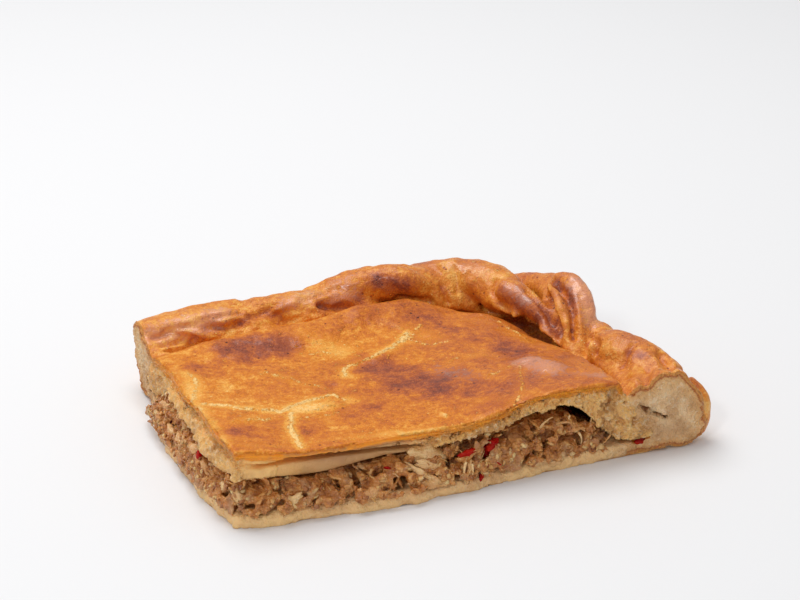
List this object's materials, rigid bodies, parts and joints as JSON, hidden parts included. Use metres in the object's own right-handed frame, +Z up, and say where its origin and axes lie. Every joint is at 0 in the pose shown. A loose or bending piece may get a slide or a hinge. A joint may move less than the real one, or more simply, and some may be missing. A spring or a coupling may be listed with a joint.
{
  "type": "empanada slice",
  "caption": "Corner slice of a flat savoury pie: dough base with a twisted rope rim, a glazed lid tucked under it, and a layer of flaked fish, onion and red pepper between.",
  "frame": {"origin": "middle of the slice's footprint, on the surface it rests on", "axes": "+X along the front cut towards the right-hand rim, +Y from the front cut to the back rim, +Z up"},
  "size_m": [0.1444, 0.1114, 0.0299],
  "materials": {
    "base_crust": "baked bread dough, browned outside and pale where cut",
    "filling": "moist flaked fish with onion and red pepper",
    "lid_crust": "egg-washed golden crust, glossy, pale where cut"
  },
  "bodies": {
    "root": {"base_crust": "base_crust", "filling": "filling", "lid_crust": "lid_crust"}
  },
  "joints": []
}
